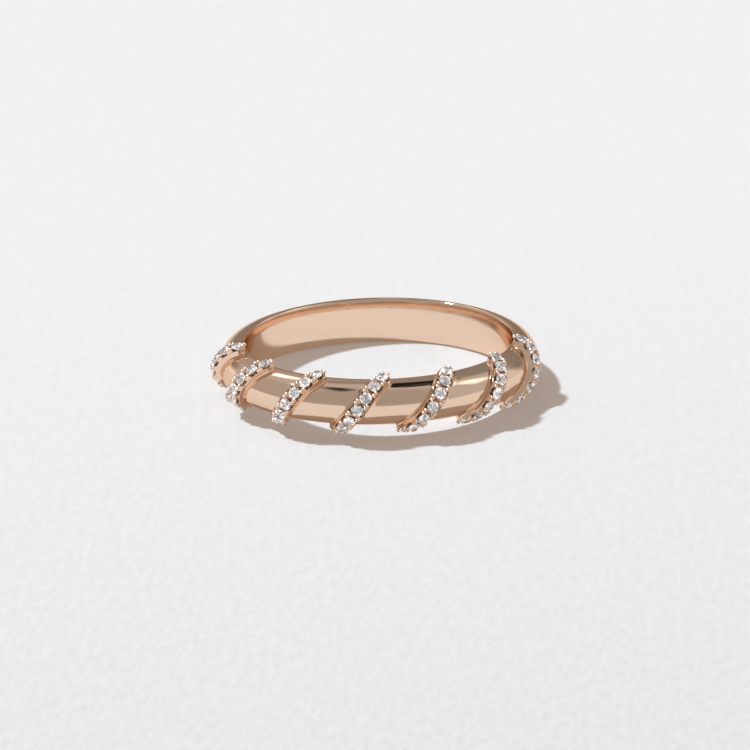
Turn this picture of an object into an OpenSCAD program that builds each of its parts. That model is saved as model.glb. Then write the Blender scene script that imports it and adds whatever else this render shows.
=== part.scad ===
/* [Finger bore] */
// Inside diameter of the ring
bore_d = 17.3; // [15:0.1:21]

/* [Shank] */
// Width of the shank along the finger
shank_w = 2.98; // [2.6:0.02:3.6]
// Thickness of the shank in the middle of the front
front_t = 2.04; // [1.7:0.02:2.6]
// Thickness of the shank at the plain back
back_t = 1.44; // [1.1:0.02:1.8]
// Rounding of the two inside edges
edge_r = 0.45; // [0.3:0.01:0.6]

/* [Ribs] */
// Angle from one rib to the next
rib_step = 25.6; // [23:0.2:28]
// Slant of a rib from the direction of the finger
rib_lean = 33; // [15:1:40]
// Share by which a rib straightens towards its ends
rib_ease = 0.035; // [0:0.005:0.1]
// Height of a rib above the shank
rib_h = 0.48; // [0.46:0.01:0.6]
// Width of a rib across its rails
rib_top_w = 1.22; // [1.2:0.01:1.4]
// Width of a rib at its foot
rib_foot_w = 1.42; // [1.4:0.01:1.7]
// Width to which a rib narrows at its two ends
rib_end_w = 0.74; // [0.7:0.01:1.1]

/* [Stones] */
// Number of stones along a rib
row_stones = 7; // [4:1:7]
// Diameter of a stone at its girdle
stone_d = 0.85; // [0.7:0.01:0.9]
// Clear gap between the girdles of two neighbours
stone_gap = 0.16; // [0.12:0.01:0.25]
// Width of the flat table
table_d = 0.48; // [0.4:0.01:0.55]
// Height of the crown above the girdle
crown_h = 0.13; // [0.08:0.01:0.16]
// Thickness of the girdle
girdle_t = 0.03; // [0.02:0.01:0.05]
// Depth of the pavilion below the girdle
pavilion_h = 0.34; // [0.25:0.01:0.36]
// Gap between a girdle and the rails beside it
stone_clear = 0.04; // [0.03:0.01:0.08]

/* [Prongs] */
// Height of a prong above the rail
prong_h = 0.1; // [0.05:0.01:0.14]
// How far a prong reaches in from its rail over the seat
prong_reach = 0.15; // [0.1:0.01:0.18]
// How far a rib runs on past the middle of its end prongs
end_reach = 0.06; // [0.05:0.01:0.15]

/* [Hidden] */

// One rib for each row of stones
rib_count = 7;

// Radii and half sizes
bore_r = bore_d / 2;
half_w = shank_w / 2;

// Seats: half widths of the channel beside a stone and of its floor, and the heights
seat_in = 0.08;
seat_half = stone_d / 2 + stone_clear + seat_in;
floor_half = 0.12;
bridge_h = 0.28;
girdle_drop = 0.06;
girdle_h = rib_h - girdle_drop;

// A rib's length is counted in pitches of its stones, with its middle at nought
pitch = stone_d + stone_gap;
rows_a_pitch = 4;
last_stone = (row_stones - 1) / 2;
end_slope = 0.05;
end_prong = last_stone + 0.5;
end_top = end_prong + end_reach / pitch;
end_foot = end_top + end_slope / pitch;

// Mesh of the shank: steps round the inside edges, and columns in the plain stretches
edge_end = 158;
edge_rows = 4;
inner_cut = 0.25;
gap_columns = 2;
back_columns = 28;

// Thickness at an angle, and the radial half axis of the domed outside there
function thickness(angle) = back_t + (front_t - back_t) * (1 + cos(angle)) / 2;
function dome(angle) = thickness(angle) - edge_r;

// Outline of the section: dome up to 90 degrees either way, then the rounded inside edge
function side(t) = t < 0 ? -1 : 1;
function outline(angle, t) =
    abs(t) <= 90
    ? [dome(angle) * cos(t) + edge_r, half_w * sin(t)]
    : [edge_r * (1 + cos(t)), side(t) * (half_w - edge_r + edge_r * sin(abs(t)))];
function outward(angle, t) =
    abs(t) <= 90
    ? let(n = [cos(t) / dome(angle), sin(t) / half_w]) n / norm(n)
    : [cos(t), sin(t)];

// A point at a height above the section, brought round the ring
function around(angle, place) =
    [(bore_r + place.x) * sin(angle), -(bore_r + place.x) * cos(angle), place.y];
function on_ring(angle, base, t, h) = around(angle, outline(base, t) + h * outward(base, t));

// Angle of a rib in the middle of the shank, counted from the left of the front
function rib_angle(i) = (i - (rib_count - 1) / 2) * rib_step;

// A place on a rib, in pitches along it and in millimetres across it: first its turn over
// the shank's section, then its angle round the ring
function eased(along) = along * (1 - rib_ease * pow(along / end_prong, 2));
function lean(along) = atan(tan(rib_lean) * (1 - 3 * rib_ease * pow(along / end_prong, 2)));
function section_r(base) = (dome(base) + half_w) / 2 + rib_h;
function turn(base, along, across) =
    (along * pitch * cos(rib_lean) - across * sin(lean(along))) / section_r(base) * 180 / PI;
function angle(base, along, across) =
    let(r = bore_r + outline(base, turn(base, along, across)).x)
    base
    + eased(along) * pitch * sin(rib_lean) / (bore_r + front_t) * 180 / PI
    + across * cos(lean(along)) / r * 180 / PI;

// Lines along a rib, from left to right: side of the rib, and which line it is
FOOT = 0;
RAIL = 1;
LIP = 2;
FLOOR = 3;
RIB_LINES = [
    [-1, FOOT], [-1, RAIL], [-1, LIP], [-1, FLOOR],
    [1, FLOOR], [1, LIP], [1, RAIL], [1, FOOT]
];

// How near a place is to a prong: nought at the middle of a stone, one at the prongs
function within(along) = min(abs(along), end_prong);
function bridge_share(along) = (1 - cos(360 * (within(along) - last_stone))) / 2;
function prong_share(along) = pow(bridge_share(along), 2);

// A rib narrows from its last stones to its ends
function past_stone(along) = max(0, within(along) - last_stone) / (end_prong - last_stone);
function narrowing(along) = (rib_top_w - rib_end_w) / 2 * pow(past_stone(along), 2);
function line_half(line, along) =
    line == FOOT ? rib_foot_w / 2 - narrowing(along) :
    line == RAIL ? rib_top_w / 2 - narrowing(along) :
    line == LIP ? seat_half - prong_reach * prong_share(along) - narrowing(along) / 2 :
    floor_half;
function line_height(line, along) =
    line == FOOT || abs(along) > end_top ? 0 :
    line == RAIL ? rib_h :
    line == LIP ? rib_h + prong_h * prong_share(along) : bridge_h * bridge_share(along);
function rib_point(i, line, along) =
    let(base = rib_angle(i), across = line[0] * line_half(line[1], along))
    on_ring(
        angle(base, along, across),
        base,
        turn(base, along, across),
        line_height(line[1], along)
    );

// Rows of the mesh along a rib: four to each stone, and three at each end
last_row = rows_a_pitch * last_stone + 1;
ALONG = concat(
    [-end_foot, -end_top, -end_prong],
    [for (k = [-last_row:last_row]) k / rows_a_pitch],
    [end_prong, end_top, end_foot]
);

// A column of the mesh, given as turns and angles: lower inside edge, dome, upper inside edge
function edge_points(angle, base, from) = [
    for (k = [1:edge_rows])
        let(t = abs(from) + (edge_end - abs(from)) * k / edge_rows)
        on_ring(angle, base, side(from) * t, 0),
    around(angle, [-inner_cut, side(from) * (half_w - edge_r)])
];
function reversed(list) = [for (k = [len(list) - 1:-1:0]) list[k]];
function column(base, first, last, points) = concat(
    reversed(edge_points(first[0], base, first[1])),
    points,
    edge_points(last[0], base, last[1])
);

// Column on a rib
function rib_end(i, line, along) =
    let(base = rib_angle(i), across = line[0] * line_half(line[1], along))
    [angle(base, along, across), turn(base, along, across)];
function rib_column(i, line) = column(
    rib_angle(i),
    rib_end(i, line, -end_foot),
    rib_end(i, line, end_foot),
    [for (along = ALONG) rib_point(i, line, along)]
);

// Column in a plain stretch, at a share of the way from one rib's foot to the next rib's
function next_rib(i) = (i + 1) % rib_count;
function lap(i) = i == rib_count - 1 ? 360 : 0;
function plain_base(i, share) =
    rib_angle(i) + share * (rib_angle(next_rib(i)) + lap(i) - rib_angle(i));
function plain_place(i, share, along) =
    let(a = rib_end(i, [1, FOOT], along), b = rib_end(next_rib(i), [-1, FOOT], along))
    a + share * (b + [lap(i), 0] - a);
function plain_column(i, share) =
    let(places = [for (along = ALONG) plain_place(i, share, along)], base = plain_base(i, share))
    column(
        base,
        places[0],
        places[len(places) - 1],
        [for (p = places) on_ring(p[0], base, p[1], 0)]
    );
function plain_columns(i) = i == rib_count - 1 ? back_columns : gap_columns;
COLUMNS = [
    for (i = [0:rib_count - 1]) each concat(
        [for (line = RIB_LINES) rib_column(i, line)],
        [for (k = [1:plain_columns(i)]) plain_column(i, k / (plain_columns(i) + 1))]
    )
];

// The ring lies on the lowest prongs of its two outer ribs and on the edge of its back
function lowest_prong(i) = rib_point(i, [1, LIP], -end_prong);
left_foot = lowest_prong(0);
right_foot = lowest_prong(rib_count - 1);
foot_line = (right_foot - left_foot) / norm(right_foot - left_foot);
foot_front = abs(left_foot.x * foot_line.y - left_foot.y * foot_line.x);
rest_tilt = atan((-left_foot.z - half_w) / (foot_front + bore_r + edge_r));

module at_rest() {
    rotate(a = -rest_tilt, v = foot_line) children();
}

// Quads between two neighbouring columns, each as two triangles
module shank_skin() {
    n = len(COLUMNS);
    m = len(COLUMNS[0]);
    polyhedron(
        points = [for (c = COLUMNS) each c],
        faces = [
            for (i = [0:n - 1], j = [0:m - 1])
                let(
                    a = i * m + j,
                    b = (i + 1) % n * m + j,
                    c = (i + 1) % n * m + (j + 1) % m,
                    d = i * m + (j + 1) % m
                )
                each [[a, d, b], [b, d, c]]
        ]
    );
}

// Domed shank with its ribs, rails, seats and prongs in one casting, and the finger bore
module shank() {
    color([0.87, 0.66, 0.53])
    at_rest()
    difference() {
        shank_skin();
        cylinder(h = 2 * shank_w, r = bore_r, center = true, $fn = 180);
    }
}

// Round brilliant: table, 8 stars, 8 kites, 16 upper facets, girdle and pavilion
sides = 8;
half_turn = 180 / sides;
star_d = 0.66;
girdle_r = stone_d / 2;
table_r = table_d / 2;
star_r = star_d / 2;
star_h = crown_h * (girdle_r - star_r * cos(half_turn)) / (girdle_r - table_r);
function ring_of(r, z, first, count) =
    [for (k = [0:count - 1]) let(w = first + k * 360 / count) [r * cos(w), r * sin(w), z]];

module brilliant() {
    table = 0;
    star = sides;
    upper = 2 * sides;
    lower = 4 * sides;
    culet = 6 * sides;
    rim = 2 * sides;
    polyhedron(
        points = concat(
            ring_of(table_r, girdle_t / 2 + crown_h, 0, sides),
            ring_of(star_r, girdle_t / 2 + star_h, half_turn, sides),
            ring_of(girdle_r, girdle_t / 2, 0, rim),
            ring_of(girdle_r, -girdle_t / 2, 0, rim),
            [[0, 0, -girdle_t / 2 - pavilion_h]]
        ),
        faces = concat(
            [[for (k = [sides - 1:-1:0]) table + k]],
            [for (k = [0:sides - 1]) [table + k, table + (k + 1) % sides, star + k]],
            [
                for (k = [0:sides - 1])
                    [table + k, star + k, upper + 2 * k, star + (k + sides - 1) % sides]
            ],
            [
                for (k = [0:sides - 1]) each [
                    [star + k, upper + 2 * k + 1, upper + 2 * k],
                    [star + k, upper + (2 * k + 2) % rim, upper + 2 * k + 1]
                ]
            ],
            [
                for (k = [0:rim - 1])
                    [upper + k, upper + (k + 1) % rim, lower + (k + 1) % rim, lower + k]
            ],
            [for (k = [0:rim - 1]) [lower + k, lower + (k + 1) % rim, culet]]
        )
    );
}

// One stone: seated square to the shank, with its girdle just under the rails
module seated_stone(i, along) {
    base = rib_angle(i);
    t = turn(base, along, 0);
    normal = outward(base, t);
    place = outline(base, t) + girdle_h * normal;
    rotate([0, 0, angle(base, along, 0)])
    translate([0, -bore_r - place.x, place.y])
    rotate([90 - atan2(normal.y, normal.x), 0, 0])
    rotate([0, 0, 90 - lean(along)])
    brilliant();
}

// The stones of one rib, from its lower end to its upper end
module stone_row(i) {
    reach = (row_stones - 1) / 2;
    color([0.93, 0.95, 0.98])
    at_rest()
    for (along = [-reach:reach]) seated_stone(i, along);
}

module stone_row_1() { stone_row(0); }
module stone_row_2() { stone_row(1); }
module stone_row_3() { stone_row(2); }
module stone_row_4() { stone_row(3); }
module stone_row_5() { stone_row(4); }
module stone_row_6() { stone_row(5); }
module stone_row_7() { stone_row(6); }

shank();
stone_row_1();
stone_row_2();
stone_row_3();
stone_row_4();
stone_row_5();
stone_row_6();
stone_row_7();
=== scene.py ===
import math

import bpy
import numpy as np
from mathutils import Matrix, Vector


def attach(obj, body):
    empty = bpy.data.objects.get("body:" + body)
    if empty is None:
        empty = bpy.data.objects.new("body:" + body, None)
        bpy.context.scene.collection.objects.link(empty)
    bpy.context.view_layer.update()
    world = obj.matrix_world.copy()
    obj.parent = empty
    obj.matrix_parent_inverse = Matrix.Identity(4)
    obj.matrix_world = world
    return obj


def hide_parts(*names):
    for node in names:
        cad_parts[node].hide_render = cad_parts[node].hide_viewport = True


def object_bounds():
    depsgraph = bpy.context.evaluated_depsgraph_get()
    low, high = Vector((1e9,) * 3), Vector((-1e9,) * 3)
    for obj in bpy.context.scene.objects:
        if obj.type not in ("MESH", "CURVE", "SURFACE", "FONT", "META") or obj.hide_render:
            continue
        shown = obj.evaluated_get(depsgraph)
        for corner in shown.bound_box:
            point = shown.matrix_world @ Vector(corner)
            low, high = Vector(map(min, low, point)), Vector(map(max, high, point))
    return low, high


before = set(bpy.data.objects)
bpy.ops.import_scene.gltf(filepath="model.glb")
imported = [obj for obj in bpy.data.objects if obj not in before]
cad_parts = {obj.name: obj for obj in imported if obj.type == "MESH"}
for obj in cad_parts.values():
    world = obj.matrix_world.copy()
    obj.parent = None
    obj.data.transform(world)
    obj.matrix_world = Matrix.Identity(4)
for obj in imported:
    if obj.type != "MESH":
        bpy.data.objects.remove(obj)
cad_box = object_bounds()


# Shank. One rose gold casting: a domed ring, thicker in front than at the back, with seven
# raised ribs slanting across its front. It is cast with the ribs on, then filed, and polished
# until the dome and the bore mirror what stands round them.
MM = 0.001
BORE_RADIUS = 8.65
HALF_WIDTH = 1.49
FRONT_THICKNESS = 2.04
BACK_THICKNESS = 1.44
FRONT_EDGE = 0.45
BACK_EDGE = 0.2
EDGE_TURN = math.radians(168)
# The bore flares a little towards both edges: distance in from the edge rounding, and flare
BORE_FLARE = [
    (0.0, 0.056), (0.12, 0.0395), (0.24, 0.0251), (0.36, 0.0129), (0.45, 0.0049), (0.56, 0.0),
]
RIB_COUNT = 7
RIB_STEP = 25.6
RIB_LEAN = 33.0
RIB_EASE = 0.035
RIB_HEIGHT = 0.48
STONES_IN_ROW = 7
STONE_PITCH = 1.01
LAST_STONE = (STONES_IN_ROW - 1) / 2
END_PRONG = LAST_STONE + 0.5
RIB_TOP_END = END_PRONG + 0.06 / STONE_PITCH
RIB_FOOT_END = RIB_TOP_END + 0.05 / STONE_PITCH

# The ring lies on the lower prongs of its outer ribs and on the edge of its back
REST_TILT = math.radians(-2.96488)
TILT_LINE = Vector((0.989127, -0.147061, 0.0))
at_rest = np.array(Matrix.Rotation(REST_TILT, 3, TILT_LINE))


def frontness(angle):
    """One at the front of the ring, nought at the back."""
    return (1 + np.cos(np.radians(angle))) / 2


def edge_reach(angle):
    """How far the rounding between bore and dome reaches outwards."""
    return BACK_EDGE + (FRONT_EDGE - BACK_EDGE) * frontness(angle) ** 2


def dome_axis(angle):
    """How far the dome rises outwards beyond the edge rounding."""
    thickness = BACK_THICKNESS + (FRONT_THICKNESS - BACK_THICKNESS) * frontness(angle)
    return thickness - edge_reach(angle)


def edge_turn(t):
    """Turn within the edge rounding, which stops where the flared bore takes over."""
    return math.pi / 2 + (np.abs(t) - math.pi / 2) * (EDGE_TURN * 2 / math.pi - 1)


def section_point(base, turn):
    """Place on the shank's section: distance out from the bore, and height along the finger."""
    t = np.radians(np.asarray(turn, float))
    over = np.abs(t) > math.pi / 2
    edge, flare = edge_reach(base), BORE_FLARE[0][1]
    rounding = edge_turn(t)
    inner = flare + (edge - flare) * (1 - np.cos(rounding) / math.cos(EDGE_TURN))
    rim = HALF_WIDTH - edge * (1 - np.sin(rounding))
    out = np.where(over, inner, dome_axis(base) * np.cos(t) + edge)
    return out, np.where(over, np.sign(t) * rim, HALF_WIDTH * np.sin(t))


def section_normal(base, turn):
    """Direction square to the shank's section: outwards from the finger, and along it."""
    t = np.radians(np.asarray(turn, float))
    over = np.abs(t) > math.pi / 2
    edge, flare = edge_reach(base), BORE_FLARE[0][1]
    rounding = edge_turn(t)
    inner_up = (edge - flare) * np.sin(rounding) / -math.cos(EDGE_TURN)
    out = np.where(over, edge * np.cos(rounding), np.cos(t) / dome_axis(base))
    up = np.where(over, np.sign(t) * inner_up, np.sin(t) / HALF_WIDTH)
    size = np.hypot(out, up)
    return out / size, up / size


def on_ring(angle, base, turn, height):
    """Points at a height above the dome, brought round the ring, in millimetres."""
    out, z = section_point(base, turn)
    normal_out, normal_z = section_normal(base, turn)
    r = BORE_RADIUS + out + height * normal_out
    a = np.radians(angle)
    return np.stack([r * np.sin(a), -r * np.cos(a), z + height * normal_z], axis=-1)


def rib_base(rib):
    """Angle round the ring of a rib's middle."""
    return (rib - (RIB_COUNT - 1) / 2) * RIB_STEP


def rib_place(rib, along, across):
    """Angle round the ring and turn over the dome of a place on a rib."""
    base = rib_base(rib)
    share = (along / END_PRONG) ** 2
    lean = np.arctan(math.tan(math.radians(RIB_LEAN)) * (1 - 3 * RIB_EASE * share))
    section_radius = (dome_axis(base) + HALF_WIDTH) / 2 + RIB_HEIGHT
    straight = math.cos(math.radians(RIB_LEAN))
    sideways = math.sin(math.radians(RIB_LEAN))
    turn = np.degrees((along * STONE_PITCH * straight - across * np.sin(lean)) / section_radius)
    out, _ = section_point(base, turn)
    drift = along * (1 - RIB_EASE * share) * STONE_PITCH * sideways
    drift /= BORE_RADIUS + FRONT_THICKNESS
    angle = base + np.degrees(drift + across * np.cos(lean) / (BORE_RADIUS + out))
    return angle, turn


# Half widths across a rib and heights above the dome, in millimetres
LIP_HALF = 0.475
END_NARROWING = 0.3
LIP_HEIGHT = 0.475
SEAT_RADIUS = 0.437
SEAT_LEDGE_RADIUS = 0.428
SEAT_HEIGHT = 0.425
SEAT_LEDGE_HEIGHT = 0.385
SEAT_BOTTOM_RADIUS = 0.13
SEAT_BOTTOM_HEIGHT = 0.03
CUT_DEPTH = 0.235
CUT_FROM_MIDDLE = (0.24, 0.36)
BRIDGE_DROP = 0.15
BRIDGE_FROM_MIDDLE = (0.06, 0.26)
POST_FROM_STONE = (0.2, 0.32)
CELL = 20
SEAT_RINGS = 7


def narrowing(along):
    """How much narrower a rib is past its last stone."""
    past = np.clip((np.abs(along) - LAST_STONE) / (END_PRONG - LAST_STONE), 0, 1.12)
    return END_NARROWING * past ** 2


def smooth(value, low, high):
    """Rises gently from nought at low to one at high."""
    share = np.clip((value - low) / (high - low), 0, 1)
    return share * share * (3 - 2 * share)


def post_share(along):
    """One at the posts between stones, nought where the wall is cut open beside a stone."""
    from_stone = np.abs((along - LAST_STONE) - np.round(along - LAST_STONE))
    return np.where(np.abs(along) > END_PRONG - 0.01, 1.0, smooth(from_stone, *POST_FROM_STONE))


def lip_half(along):
    """Half width between the inner edges of the two rails."""
    return LIP_HALF - narrowing(along)


# Outer flank of a rib from its foot inwards: a low rail and a groove behind it, as half width
# and height at a post, then beside a stone
FLANK = [
    (0.655, 0.0, 0.655, 0.0), (0.63, 0.014, 0.63, 0.014), (0.611, 0.055, 0.611, 0.055),
    (0.598, 0.13, 0.598, 0.13), (0.588, 0.22, 0.588, 0.22), (0.576, 0.3, 0.576, 0.298),
    (0.552, 0.32, 0.552, 0.315), (0.531, 0.29, 0.529, 0.255), (0.5, 0.33, 0.502, 0.225),
]

# Closed end of a rib, where the top runs on a little, then drops down to the dome: distance from
# the rib's middle in stones, greatest height there, and share of the width that is kept
RIB_END = [
    (END_PRONG + 0.03, 0.44, 0.96), (RIB_TOP_END - 0.005, 0.34, 0.88),
    (RIB_TOP_END + 0.015, 0.2, 0.8), (RIB_FOOT_END - 0.01, 0.06, 0.74), (RIB_FOOT_END, 0.0, 0.72),
]
# Between the rails the burr leaves the metal dull and rough up to one height, and bright above the
# other; the dull part is also painted dark, as painted shade
GROOVE_HALF = LIP_HALF + 0.07
DULL_AND_SHADED_BELOW = 0.06
BRIGHT_ABOVE = 0.27


def flank_lines(along, side):
    """Across and height of each flank line for every row, from the foot inwards."""
    lines = []
    share = post_share(along)
    for post_half, post_height, cut_half, cut_height in FLANK:
        half = cut_half + (post_half - cut_half) * share
        height = cut_height + (post_height - cut_height) * share
        lines.append((side * (half - narrowing(along)), height))
    return lines


def seat_cell(stone):
    """Grid of one stone's seat: squares outside turn into rings round the drilled hole."""
    steps = np.linspace(-1, 1, CELL + 1)
    u, v = np.meshgrid(steps, steps, indexing="ij")
    reach = np.maximum(np.abs(u), np.abs(v))
    safe = np.where(reach == 0, 1, reach)
    edge_along = stone + u / safe / 2
    edge_across = v / safe * lip_half(edge_along)
    edge = np.stack([(edge_along - stone) * STONE_PITCH, edge_across], axis=-1)
    ray = edge / np.maximum(np.linalg.norm(edge, axis=-1, keepdims=True), 1e-9)
    ring = reach * CELL / 2
    rim = SEAT_RINGS
    radii = np.interp(
        ring,
        [0, rim - 2, rim - 1, rim],
        [0, SEAT_BOTTOM_RADIUS, SEAT_LEDGE_RADIUS, SEAT_RADIUS],
    )
    share = np.clip((ring - rim) / (CELL / 2 - rim), 0, 1)[..., None]
    place = ray * radii[..., None] * (1 - share) + edge * share
    height = np.interp(
        ring,
        [0, rim - 2, rim - 1, rim, CELL / 2],
        [SEAT_BOTTOM_HEIGHT, SEAT_BOTTOM_HEIGHT, SEAT_LEDGE_HEIGHT, SEAT_HEIGHT, LIP_HEIGHT],
    )
    along = stone + place[..., 0] / STONE_PITCH
    from_middle = np.abs(place[..., 1])
    beside = smooth(from_middle, *CUT_FROM_MIDDLE) * (1 - post_share(along))
    between = (1 - smooth(from_middle, *BRIDGE_FROM_MIDDLE)) * smooth(ring, rim - 1.5, rim)
    hole = (ring < rim - 0.5) * 1.0
    return along, place[..., 1], height - CUT_DEPTH * beside - BRIDGE_DROP * between, hole


def rib_grid(rib):
    """Rows along a rib by columns across it, as points."""
    stones = np.arange(STONES_IN_ROW) - LAST_STONE
    cells = [seat_cell(s) for s in stones]
    joined = lambda k: np.vstack([c[k][:CELL] for c in cells[:-1]] + [cells[-1][k]])
    along, across, height, hole = (joined(k) for k in range(4))
    rows = np.linspace(-END_PRONG, END_PRONG, STONES_IN_ROW * CELL + 1)
    left = flank_lines(rows, -1)
    right = flank_lines(rows, 1)[::-1]
    spread = lambda lines, k: np.stack([line[k] for line in lines], axis=1)
    flank_rows = np.repeat(rows[:, None], len(FLANK), 1)
    along = np.hstack([flank_rows, along, flank_rows])
    across = np.hstack([spread(left, 0), across, spread(right, 0)])
    height = np.hstack([spread(left, 1), height, spread(right, 1)])
    hole = np.hstack([0 * flank_rows, hole, 0 * flank_rows])
    caps = []
    for end in (-1, 1):
        edge_across, edge_height = (across[0], height[0]) if end < 0 else (across[-1], height[-1])
        flat = np.ones(across.shape[1])
        steps = [(flat * end * run, edge_across * pinch, np.minimum(edge_height, top))
                 for run, top, pinch in RIB_END]
        caps.append(steps[::-1] if end < 0 else steps)
    stack = lambda k, body: np.vstack([*[s[k] for s in caps[0]], body, *[s[k] for s in caps[1]]])
    along, across, height = stack(0, along), stack(1, across), stack(2, height)
    angle, turn = rib_place(rib, along, across)
    points = on_ring(angle, rib_base(rib), turn, height)
    # Painted shade: the low metal between the rails and each seat's drilled hole are painted dark
    # as well as left rough
    inside = np.abs(across) < GROOVE_HALF - narrowing(along)
    polish_and_painted_shade = np.where(inside, smooth(height, DULL_AND_SHADED_BELOW, BRIGHT_ABOVE), 1.0)
    polish_and_painted_shade[len(caps[0]):len(caps[0]) + len(rows)] *= 1 - hole
    return points, angle, turn, polish_and_painted_shade


EDGE_STEPS = 9
GAP_COLUMNS = 14
BACK_COLUMNS = 110
SHARPEST_SMOOTH_EDGE = 32


def closed_column(base, angle, turn, points):
    """A whole turn round the section: the outside points given, then the edges and the bore."""
    out = []
    for from_end, flip in ((-1, False), (0, True)):
        start_turn, start_angle = turn[from_end], angle[from_end]
        side = 1 if start_turn > 0 else -1
        share = np.arange(1, EDGE_STEPS + 1) / EDGE_STEPS
        steps = abs(start_turn) + (180 - abs(start_turn)) * share
        arc = on_ring(np.full(EDGE_STEPS, start_angle), base, side * steps, 0.0)
        out.append(arc[::-1] if flip else arc)
    top, bottom = out
    inward, flare = np.array(BORE_FLARE[1:]).T
    end = HALF_WIDTH - edge_reach(base) * (1 - math.sin(EDGE_TURN))
    z = np.concatenate([end - inward, (inward - end)[::-1]])
    r = BORE_RADIUS + np.concatenate([flare, flare[::-1]])
    a = np.radians(np.interp(z, [-end, end], [angle[0], angle[-1]]))
    bore = np.stack([r * np.sin(a), -r * np.cos(a), z], axis=-1)
    return np.vstack([points, top, bore, bottom])


columns = []
feet = []
rib_polish_and_shade = []
for rib in range(RIB_COUNT):
    points, angle, turn, polish_and_painted_shade = rib_grid(rib)
    feet.append((angle[:, 0], turn[:, 0], angle[:, -1], turn[:, -1]))
    columns.append([closed_column(rib_base(rib), angle[:, c], turn[:, c], points[:, c])
                    for c in range(points.shape[1])])
    rest_of_column = columns[rib][0].shape[0] - points.shape[0]
    polish_and_shade_columns = np.vstack([polish_and_painted_shade, np.ones((rest_of_column, polish_and_painted_shade.shape[1]))]).T
    rib_polish_and_shade.append(polish_and_shade_columns)
ring_columns = []
ring_polish_and_shade = []
for rib in range(RIB_COUNT):
    after = (rib + 1) % RIB_COUNT
    lap = 360 if after == 0 else 0
    count = BACK_COLUMNS if after == 0 else GAP_COLUMNS
    ring_columns += columns[rib]
    ring_polish_and_shade += [*rib_polish_and_shade[rib], np.ones((count, rib_polish_and_shade[rib].shape[1]))]
    for k in range(1, count + 1):
        share = k / (count + 1)
        base = rib_base(rib) + share * (rib_base(after) + lap - rib_base(rib))
        angle = feet[rib][2] + share * (feet[after][0] + lap - feet[rib][2])
        turn = feet[rib][3] + share * (feet[after][1] - feet[rib][3])
        ring_columns.append(closed_column(base, angle, turn, on_ring(angle, base, turn, 0.0)))
shank_grid = np.array(ring_columns) @ at_rest.T * MM


def closed_mesh(name, grid):
    """A mesh from a grid of points that closes on itself both ways."""
    n, m = grid.shape[:2]
    i, j = np.meshgrid(np.arange(n), np.arange(m), indexing="ij")
    corner = lambda di, dj: ((i + di) % n) * m + (j + dj) % m
    quads = np.stack([corner(0, 0), corner(1, 0), corner(1, 1), corner(0, 1)], axis=-1)
    mesh = bpy.data.meshes.new(name)
    mesh.from_pydata(grid.reshape(-1, 3).tolist(), [], quads.reshape(-1, 4).tolist())
    mesh.update()
    return mesh


shank_mesh = closed_mesh("shank_casting", shank_grid)
polish_and_painted_shade = shank_mesh.attributes.new("polish_and_painted_shade", "FLOAT", "POINT")
polish_and_painted_shade.data.foreach_set("value", np.vstack(ring_polish_and_shade).ravel())
in_bore = np.zeros(shank_grid.shape[:2])
in_bore[:, -(EDGE_STEPS + 2 * len(BORE_FLARE) - 1):-(EDGE_STEPS - 1)] = 1
felted = shank_mesh.attributes.new("felted", "FLOAT", "POINT")
felted.data.foreach_set("value", in_bore.ravel())
shank_mesh.shade_smooth()
shank_mesh.set_sharp_from_angle(angle=math.radians(SHARPEST_SMOOTH_EDGE))
shank = bpy.data.objects.new("shank_casting", shank_mesh)
bpy.context.scene.collection.objects.link(shank)

# Polished rose gold: a mirror with the faintest haze and hairlines left by the polishing wheel
ROSE_GOLD = (0.875, 0.654, 0.502, 1.0)
rose_gold = bpy.data.materials.new("polished_rose_gold")
rose_gold.use_nodes = True
nodes, links = rose_gold.node_tree.nodes, rose_gold.node_tree.links
gold_shader = nodes["Principled BSDF"]
gold_shader.inputs["Metallic"].default_value = 1.0
gold_shader.inputs["Specular Tint"].default_value = (0.88, 0.72, 0.61, 1.0)
where = nodes.new("ShaderNodeTexCoord")
haze = nodes.new("ShaderNodeTexNoise")
haze.inputs["Scale"].default_value = 900.0
haze.inputs["Detail"].default_value = 3.0
haze_range = nodes.new("ShaderNodeMapRange")
haze_range.inputs["To Min"].default_value = 0.025
haze_range.inputs["To Max"].default_value = 0.055
links.new(where.outputs["Object"], haze.inputs["Vector"])
links.new(haze.outputs["Fac"], haze_range.inputs["Value"])
# The bore is finished on a felt stick, which leaves it a little duller than the dome; its colour is
# also painted a little paler, a painted brightening
bore_finish = nodes.new("ShaderNodeAttribute")
bore_finish.attribute_name = "felted"
bore_haze = nodes.new("ShaderNodeMath")
bore_haze.operation = "MULTIPLY_ADD"
bore_haze.inputs[1].default_value = 0.07
links.new(bore_finish.outputs["Fac"], bore_haze.inputs[0])
links.new(haze_range.outputs["Result"], bore_haze.inputs[2])
bore_painted_paler_tone = nodes.new("ShaderNodeMix")
bore_painted_paler_tone.data_type = "RGBA"
bore_painted_paler_tone.inputs["A"].default_value = ROSE_GOLD
bore_painted_paler_tone.inputs["B"].default_value = (0.88, 0.662, 0.507, 1.0)
links.new(bore_finish.outputs["Fac"], bore_painted_paler_tone.inputs["Factor"])
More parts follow.
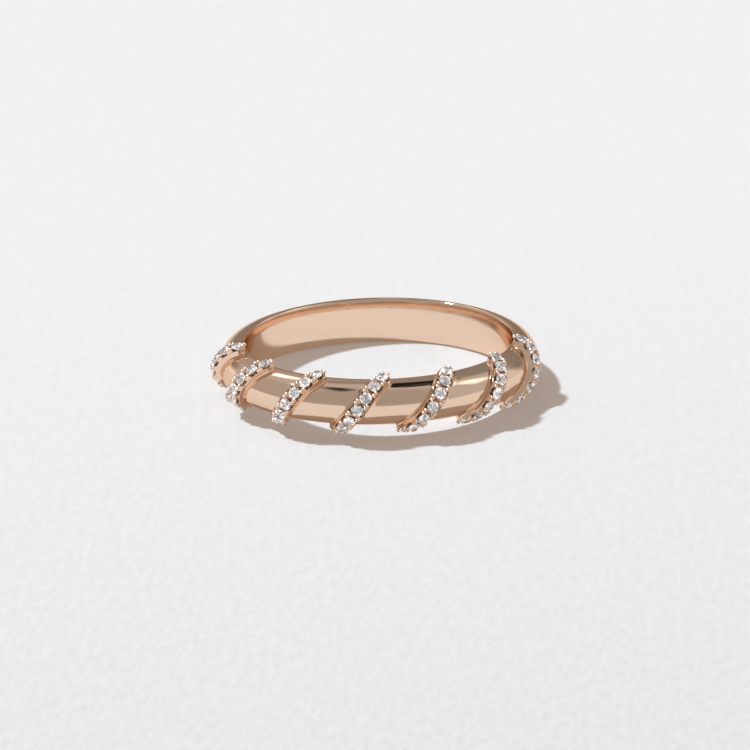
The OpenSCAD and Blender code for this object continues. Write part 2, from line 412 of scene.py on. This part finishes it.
# Seats and cuts keep the dull, rough surface left by the burr, and are painted darker there as
# painted shade
finish_and_shade = nodes.new("ShaderNodeAttribute")
finish_and_shade.attribute_name = "polish_and_painted_shade"
rough = nodes.new("ShaderNodeMix")
rough.inputs["A"].default_value = 0.35
links.new(finish_and_shade.outputs["Fac"], rough.inputs["Factor"])
links.new(bore_haze.outputs["Value"], rough.inputs["B"])
links.new(rough.outputs["Result"], gold_shader.inputs["Roughness"])
skin_and_shade = nodes.new("ShaderNodeMix")
skin_and_shade.data_type = "RGBA"
skin_and_shade.inputs["A"].default_value = (0.3, 0.18, 0.11, 1.0)
links.new(bore_painted_paler_tone.outputs["Result"], skin_and_shade.inputs["B"])
links.new(finish_and_shade.outputs["Fac"], skin_and_shade.inputs["Factor"])
links.new(skin_and_shade.outputs["Result"], gold_shader.inputs["Base Color"])
shank_mesh.materials.append(rose_gold)
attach(shank, "root")
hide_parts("shank")


# Beads. Small round grains of the casting's own gold, raised with a graver between the stones,
# pushed over their edges and burnished with a cup tool, which leaves them softer than the dome.
# Four stand at each junction, and two larger ones close each end of a rib.
BEAD_RADIUS = 0.125
BEAD_ACROSS = 0.35
BEAD_SPREAD = 0.12
BEAD_CENTRE_HEIGHT = 0.46
END_BEAD_RADIUS = 0.13
END_BEAD_ACROSS = 0.175
END_BEAD_CENTRE_HEIGHT = 0.42
BEAD_FOOT_TILT = 0.62 * math.pi
BEAD_RINGS = 9
BEAD_SIDES = 14


def bead_points(rib, along, across, radius, centre_height):
    """A round-topped bead standing square on the rib, as rings from its foot to its top."""
    angle, turn = rib_place(rib, np.array(float(along)), np.array(float(across)))
    base = rib_base(rib)
    foot = on_ring(angle, base, turn, 0.0)
    up = on_ring(angle, base, turn, 1.0) - foot
    side = np.cross(up, (0, 0, 1.0))
    side /= np.linalg.norm(side)
    front = np.cross(up, side)
    centre = foot + up * centre_height
    points, faces = [], []
    for k in range(BEAD_RINGS):
        tilt = BEAD_FOOT_TILT * (1 - k / BEAD_RINGS)
        for s in range(BEAD_SIDES):
            w = 2 * math.pi * s / BEAD_SIDES
            ring = math.sin(tilt) * radius
            points.append(centre + side * ring * math.cos(w) + front * ring * math.sin(w)
                          + up * radius * math.cos(tilt))
    points.append(centre + up * radius)
    for k in range(BEAD_RINGS - 1):
        here, above = k * BEAD_SIDES, (k + 1) * BEAD_SIDES
        for s in range(BEAD_SIDES):
            t = (s + 1) % BEAD_SIDES
            faces.append((here + s, here + t, above + t, above + s))
    last, tip = (BEAD_RINGS - 1) * BEAD_SIDES, BEAD_RINGS * BEAD_SIDES
    faces += [(last + s, last + (s + 1) % BEAD_SIDES, tip) for s in range(BEAD_SIDES)]
    faces.append(tuple(range(BEAD_SIDES - 1, -1, -1)))
    return points, faces


bead_vertices, bead_faces = [], []
for rib in range(RIB_COUNT):
    for junction in range(STONES_IN_ROW + 1):
        along = junction - STONES_IN_ROW / 2
        if junction in (0, STONES_IN_ROW):
            group = [(along, side * END_BEAD_ACROSS, END_BEAD_RADIUS, END_BEAD_CENTRE_HEIGHT)
                     for side in (-1, 1)]
        else:
            group = [(along + ahead * BEAD_SPREAD / STONE_PITCH, side * BEAD_ACROSS, BEAD_RADIUS,
                      BEAD_CENTRE_HEIGHT) for side in (-1, 1) for ahead in (-1, 1)]
        for bead in group:
            points, faces = bead_points(rib, *bead)
            first = len(bead_vertices)
            bead_vertices += [tuple(at_rest @ p * MM) for p in points]
            bead_faces += [tuple(first + v for v in f) for f in faces]
bead_mesh = bpy.data.meshes.new("prong_beads")
bead_mesh.from_pydata(bead_vertices, [], bead_faces)
bead_mesh.update()
bead_mesh.shade_smooth()
beads = bpy.data.objects.new("prong_beads", bead_mesh)
bpy.context.scene.collection.objects.link(beads)
burnished = rose_gold.copy()
burnished.name = "burnished_rose_gold"
burnished.node_tree.nodes[rough.name].inputs["A"].default_value = 0.3
burnished.node_tree.nodes[skin_and_shade.name].inputs["A"].default_value = (0.91, 0.7, 0.55, 1.0)
bead_mesh.materials.append(burnished)
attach(beads, "root")
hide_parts("shank")


# Stones. Small round brilliants, cut clear and colourless, seven to a rib. Each has a table,
# stars, kites and girdle facets above, and mains and lower girdle facets below, and sits in a
# drilled seat with its girdle just under the rails.
STONE_RADIUS = 0.4
TABLE_RADIUS = 0.22
STAR_RADIUS = 0.305
CROWN_HEIGHT = 0.13
GIRDLE_THICKNESS = 0.03
PAVILION_DEPTH = 0.32
LOWER_RADIUS = 0.094
GIRDLE_HEIGHT = RIB_HEIGHT - 0.06
MAINS = 8


def ring_points(radius, height, count, offset):
    w = 2 * np.pi * (np.arange(count) + offset) / count
    return np.stack([radius * np.cos(w), radius * np.sin(w), np.full(count, height)], axis=1)


def brilliant():
    """One brilliant about its girdle's middle, table up."""
    upper = GIRDLE_THICKNESS / 2
    slope = CROWN_HEIGHT / (STONE_RADIUS - TABLE_RADIUS)
    star_height = upper + slope * (STONE_RADIUS - STAR_RADIUS * math.cos(math.pi / MAINS))
    fall = PAVILION_DEPTH / STONE_RADIUS
    lower_height = -upper - fall * (STONE_RADIUS - LOWER_RADIUS / math.cos(math.pi / MAINS))
    rings = [
        ring_points(TABLE_RADIUS, upper + CROWN_HEIGHT, MAINS, 0.0),
        ring_points(STAR_RADIUS, star_height, MAINS, 0.5),
        ring_points(STONE_RADIUS, upper, 2 * MAINS, 0.0),
        ring_points(STONE_RADIUS, -upper, 2 * MAINS, 0.0),
        ring_points(LOWER_RADIUS, lower_height, MAINS, 0.5),
        np.array([[0.0, 0.0, -upper - PAVILION_DEPTH]]),
    ]
    starts = np.cumsum([0] + [len(r) for r in rings])
    table, star, top, rim, lower, culet = (int(s) for s in starts[:6])
    around = 2 * MAINS
    faces = [tuple(range(table, table + MAINS))]
    for k in range(MAINS):
        after, before = (k + 1) % MAINS, (k - 1) % MAINS
        faces.append((table + k, star + k, table + after))
        faces.append((table + k, star + before, top + 2 * k, star + k))
        faces.append((star + k, top + 2 * k, top + 2 * k + 1))
        faces.append((star + k, top + 2 * k + 1, top + (2 * k + 2) % around))
        faces.append((rim + 2 * k, lower + before, culet, lower + k))
        faces.append((rim + 2 * k, lower + k, rim + 2 * k + 1))
        faces.append((rim + 2 * k + 1, lower + k, rim + (2 * k + 2) % around))
    for k in range(around):
        after = (k + 1) % around
        faces.append((top + k, rim + k, rim + after, top + after))
    return np.vstack(rings), faces


clear_stone = bpy.data.materials.new("clear_brilliant")
clear_stone.use_nodes = True
nodes, links = clear_stone.node_tree.nodes, clear_stone.node_tree.links
stone_shader = nodes["Principled BSDF"]
stone_shader.inputs["Roughness"].default_value = 0.0
stone_shader.inputs["IOR"].default_value = 2.417
stone_shader.inputs["Transmission Weight"].default_value = 0.9
# Painted sparkle: each facet glows with a painted light of its own, from none to white, and facets
# that glow little are painted darker, as painted shade
painted_glint = nodes.new("ShaderNodeAttribute")
painted_glint.attribute_name = "painted_glint"
painted_glint_tint = nodes.new("ShaderNodeMix")
painted_glint_tint.data_type = "RGBA"
painted_glint_tint.inputs["A"].default_value = (1.0, 0.915, 0.915, 1.0)
painted_glint_tint.inputs["B"].default_value = (1.0, 0.915, 0.85, 1.0)
painted_facet_shade = nodes.new("ShaderNodeMapRange")
painted_facet_shade.inputs["From Max"].default_value = 0.08
painted_facet_shade.inputs["To Min"].default_value = 0.35
painted_facet_shade.inputs["To Max"].default_value = 0.99
links.new(painted_glint.outputs["Fac"], painted_facet_shade.inputs["Value"])
links.new(painted_facet_shade.outputs["Result"], stone_shader.inputs["Base Color"])
links.new(painted_glint.outputs["Fac"], painted_glint_tint.inputs["Factor"])
links.new(painted_glint_tint.outputs["Result"], stone_shader.inputs["Emission Color"])
links.new(painted_glint.outputs["Fac"], stone_shader.inputs["Emission Strength"])
# Painted glow strengths of a facet, and their odds above and below the girdle; the table barely
# glows
PAINTED_GLINTS = (0.0, 0.09, 0.35)
CROWN_ODDS = (0.46, 0.29, 0.25)
PAVILION_ODDS = (0.46, 0.28, 0.26)
TABLE_PAINTED_GLINT = 0.02
facet_luck = np.random.default_rng(11)

cut_points, cut_faces = brilliant()
for rib in range(RIB_COUNT):
    vertices, faces = [], []
    for along in np.arange(STONES_IN_ROW) - LAST_STONE:
        angle, turn = rib_place(rib, along, np.array(0.0))
        base = rib_base(rib)
        foot = on_ring(angle, base, turn, 0.0)
        up = on_ring(angle, base, turn, 1.0) - foot
        ahead_angle, ahead_turn = rib_place(rib, along + 0.01, np.array(0.0))
        ahead = on_ring(ahead_angle, base, ahead_turn, 0.0) - foot
        ahead -= up * ahead.dot(up)
        ahead /= np.linalg.norm(ahead)
        frame_axes = np.stack([ahead, np.cross(up, ahead), up])
        placed = (foot + up * GIRDLE_HEIGHT + cut_points @ frame_axes) @ at_rest.T * MM
        first = len(vertices)
        vertices += placed.tolist()
        faces += [tuple(first + v for v in f) for f in cut_faces]
    name = f"brilliants_{rib + 1}"
    stone_mesh = bpy.data.meshes.new(name)
    stone_mesh.from_pydata(vertices, [], faces)
    stone_mesh.update()
    # Painted light and shade: how much each facet glows, and how dark it is painted
    painted_glints = stone_mesh.attributes.new("painted_glint", "FLOAT", "FACE")
    below = np.array([min(f) % len(cut_points) >= len(cut_points) // 2 for f in faces])
    light = np.where(below, facet_luck.choice(PAINTED_GLINTS, len(faces), p=PAVILION_ODDS),
                     facet_luck.choice(PAINTED_GLINTS, len(faces), p=CROWN_ODDS))
    light[::len(cut_faces)] = TABLE_PAINTED_GLINT
    painted_glints.data.foreach_set("value", light)
    stone_mesh.materials.append(clear_stone)
    stones = bpy.data.objects.new(name, stone_mesh)
    bpy.context.scene.collection.objects.link(stones)
    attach(stones, "root")
    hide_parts(f"stone_row_{rib + 1}")


# Floor. A sheet of heavy off-white paper that the ring lies on, with the fine tooth that the
# mould and felt leave. It is big enough that the room shows only past its far edge.
FLOOR_HALF = 0.9
floor_height = cad_box[0].z
floor_mesh = bpy.data.meshes.new("paper_floor")
floor_mesh.from_pydata(
    [(-FLOOR_HALF, -FLOOR_HALF, floor_height), (FLOOR_HALF, -FLOOR_HALF, floor_height),
     (FLOOR_HALF, FLOOR_HALF, floor_height), (-FLOOR_HALF, FLOOR_HALF, floor_height)],
    [], [(0, 1, 2, 3)])
floor_mesh.update()
floor = bpy.data.objects.new("paper_floor", floor_mesh)
bpy.context.scene.collection.objects.link(floor)
paper = bpy.data.materials.new("off_white_paper")
paper.use_nodes = True
nodes, links = paper.node_tree.nodes, paper.node_tree.links
paper_shader = nodes["Principled BSDF"]
paper_shader.inputs["Roughness"].default_value = 0.9
paper_shader.inputs["Specular IOR Level"].default_value = 0.1
spot = nodes.new("ShaderNodeTexCoord")
turned = nodes.new("ShaderNodeMapping")
turned.inputs["Rotation"].default_value = (0.0, 0.0, math.radians(-20))
turned.inputs["Scale"].default_value = (2300.0, 750.0, 1.0)
links.new(spot.outputs["Object"], turned.inputs["Vector"])
fibres = nodes.new("ShaderNodeTexNoise")
fibres.inputs["Scale"].default_value = 1.0
fibres.inputs["Detail"].default_value = 4.0
links.new(turned.outputs["Vector"], fibres.inputs["Vector"])
tone = nodes.new("ShaderNodeMix")
tone.data_type = "RGBA"
tone.inputs["A"].default_value = (0.345, 0.329, 0.313, 1.0)
tone.inputs["B"].default_value = (0.4, 0.382, 0.364, 1.0)
# The tooth shows more towards the viewer
depth_place = nodes.new("ShaderNodeSeparateXYZ")
links.new(spot.outputs["Object"], depth_place.inputs["Vector"])
contrast = nodes.new("ShaderNodeMapRange")
contrast.inputs["From Min"].default_value = -0.05
contrast.inputs["From Max"].default_value = 0.05
contrast.inputs["To Min"].default_value = 2.4
contrast.inputs["To Max"].default_value = 0.55
links.new(depth_place.outputs["Y"], contrast.inputs["Value"])
grain = nodes.new("ShaderNodeMix")
grain.clamp_factor = False
grain.inputs["A"].default_value = 0.5
links.new(contrast.outputs["Result"], grain.inputs["Factor"])
links.new(fibres.outputs["Fac"], grain.inputs["B"])
links.new(grain.outputs["Result"], tone.inputs["Factor"])
# Painted shade: the paper is coloured a little darker towards the viewer and to the right, where
# the light falls off
nearer = nodes.new("ShaderNodeVectorMath")
nearer.operation = "DOT_PRODUCT"
nearer.inputs[1].default_value = (0.5, -1.0, 0.0)
links.new(spot.outputs["Object"], nearer.inputs[0])
nearness = nodes.new("ShaderNodeMapRange")
nearness.interpolation_type = "SMOOTHSTEP"
nearness.inputs["From Min"].default_value = -0.06
nearness.inputs["From Max"].default_value = 0.4
links.new(nearer.outputs["Value"], nearness.inputs["Value"])
painted_falloff = nodes.new("ShaderNodeMix")
painted_falloff.data_type = "RGBA"
painted_falloff.inputs["B"].default_value = (0.16, 0.153, 0.146, 1.0)
links.new(nearness.outputs["Result"], painted_falloff.inputs["Factor"])
links.new(tone.outputs["Result"], painted_falloff.inputs["A"])
links.new(painted_falloff.outputs["Result"], paper_shader.inputs["Base Color"])
# Painted glow: the sheet gives off a faint warm light of its own, which lifts the shadow
paper_shader.inputs["Emission Color"].default_value = (1.0, 0.79, 0.665, 1.0)
paper_shader.inputs["Emission Strength"].default_value = 0.24
tooth = nodes.new("ShaderNodeBump")
tooth.inputs["Strength"].default_value = 0.25
tooth.inputs["Distance"].default_value = 0.00004
links.new(fibres.outputs["Fac"], tooth.inputs["Height"])
links.new(tooth.outputs["Normal"], paper_shader.inputs["Normal"])
floor_mesh.materials.append(paper)


# Light. The key stands high on the left and throws the shadow. Round the ring is a grey room with
# paler and darker panels at its sides, small bright softboxes, and black flags near overhead.
def direction(azimuth, elevation):
    """Towards a point of the room, with azimuth from the camera's side of the ring to its right."""
    a, e = math.radians(azimuth), math.radians(elevation)
    return Vector((math.cos(e) * math.sin(a), -math.cos(e) * math.cos(a), math.sin(e)))


KEY_AZIMUTH, KEY_ELEVATION = -101.0, 58.0
key_data = bpy.data.lights.new("key_softbox", "SUN")
key_data.energy = 6.3
key_data.angle = math.radians(5)
key_data.color = (0.737, 0.871, 1.0)
key = bpy.data.objects.new("key_softbox", key_data)
key.rotation_euler = direction(KEY_AZIMUTH, KEY_ELEVATION).to_track_quat("Z", "Y").to_euler()
bpy.context.scene.collection.objects.link(key)

world = bpy.data.worlds.new("studio_room")
world.use_nodes = True
bpy.context.scene.world = world
nodes, links = world.node_tree.nodes, world.node_tree.links
backdrop = nodes["Background"]
gaze = nodes.new("ShaderNodeTexCoord")


def along_gaze(axis):
    dot = nodes.new("ShaderNodeVectorMath")
    dot.operation = "DOT_PRODUCT"
    dot.inputs[1].default_value = axis
    links.new(gaze.outputs["Generated"], dot.inputs[0])
    return dot.outputs["Value"]


def calculate(operation, first, second=None):
    node = nodes.new("ShaderNodeMath")
    node.operation = operation
    for socket, value in zip(node.inputs, (first, second)):
        if isinstance(value, (int, float)):
            socket.default_value = value
        elif value is not None:
            links.new(value, socket)
    return node.outputs["Value"]


gaze_elevation = calculate("ARCSINE", along_gaze((0.0, 0.0, 1.0)))


def fall_off(angle, half, soft):
    edge = nodes.new("ShaderNodeMapRange")
    edge.interpolation_type = "SMOOTHSTEP"
    edge.inputs["From Min"].default_value = math.radians(half + soft / 2)
    edge.inputs["From Max"].default_value = math.radians(half - soft / 2)
    links.new(calculate("ABSOLUTE", angle), edge.inputs["Value"])
    return edge.outputs["Result"]


def panel(azimuth, elevation, half_across, half_up, soft):
    """One inside a panel of the room, nought outside, with a soft edge, all in degrees."""
    across = calculate("ARCTAN2", along_gaze(direction(azimuth + 90, 0)),
                       along_gaze(direction(azimuth, 0)))
    up = calculate("SUBTRACT", gaze_elevation, math.radians(elevation))
    return calculate("MULTIPLY", fall_off(across, half_across, soft), fall_off(up, half_up, soft))


def blend(under, mask, colour):
    mix = nodes.new("ShaderNodeMix")
    mix.data_type = "RGBA"
    links.new(mask, mix.inputs["Factor"])
    if isinstance(under, tuple):
        mix.inputs["A"].default_value = under
    else:
        links.new(under, mix.inputs["A"])
    mix.inputs["B"].default_value = colour
    return mix.outputs["Result"]


GREY, PALE = (1.0, 0.93, 0.88), (1.0, 0.98, 0.98)
WHITE, BLACK = (1.0, 0.98, 0.95), (1.0, 0.95, 0.85)
# Azimuth, elevation, half width, half height and soft edge in degrees, then brightness and tint
PANELS = [
    (0, 40, 68, 42, 34, 0.43, GREY), (-88, 30, 26, 42, 24, 0.48, GREY),
    (75, 24, 16, 26, 18, 0.58, PALE), (176, 28, 38, 30, 18, 0.3, GREY),
    (-158, 30, 14, 14, 14, 0.46, GREY), (-128, 5, 8, 6, 9, 1.0, PALE),
    (-137, 16, 7, 6, 9, 0.31, GREY), (-165, 0, 9, 6, 9, 0.45, PALE),
    (120, 9, 10, 13, 12, 0.75, PALE), (141, 17, 10, 9, 12, 0.27, GREY),
    (104, 44, 10, 10, 12, 1.6, WHITE), (-147, 44, 8, 5, 12, 2.6, WHITE),
    (160, 69, 26, 13, 4, 0.02, BLACK), (132, 74, 22, 7, 8, 0.06, BLACK),
    (-78, 74, 32, 6, 10, 0.06, BLACK),
]
room = (0.565, 0.54, 0.525, 1)
for azimuth, elevation, half_across, half_up, soft, level, tint in PANELS:
    room = blend(room, panel(azimuth, elevation, half_across, half_up, soft),
                 (*(level * c for c in tint), 1))
links.new(room, backdrop.inputs["Color"])
backdrop.inputs["Strength"].default_value = 1.0


# Camera. A long lens looks down at the ring from in front and a little from its right, with a
# slight tilt to the left.
CAMERA_PLACE = Vector((78.241, -558.039, 206.164)) * MM
CAMERA_AIM = Vector((-0.2566, -0.3878, -0.9468)) * MM
CAMERA_ROLL = math.radians(-2.17)
LENS_MM = 441.82
camera_data = bpy.data.cameras.new("camera")
camera_data.lens = LENS_MM
camera_data.sensor_width = 36.0
camera_data.clip_start = 0.01
camera_data.clip_end = 20.0
camera = bpy.data.objects.new("camera", camera_data)
level = (CAMERA_AIM - CAMERA_PLACE).to_track_quat("-Z", "Y").to_matrix()
camera.matrix_world = Matrix.Translation(CAMERA_PLACE) @ (
    level @ Matrix.Rotation(CAMERA_ROLL, 3, "Z")).to_4x4()
bpy.context.scene.collection.objects.link(camera)
bpy.context.scene.camera = camera
bpy.context.scene.view_settings.view_transform = "Standard"
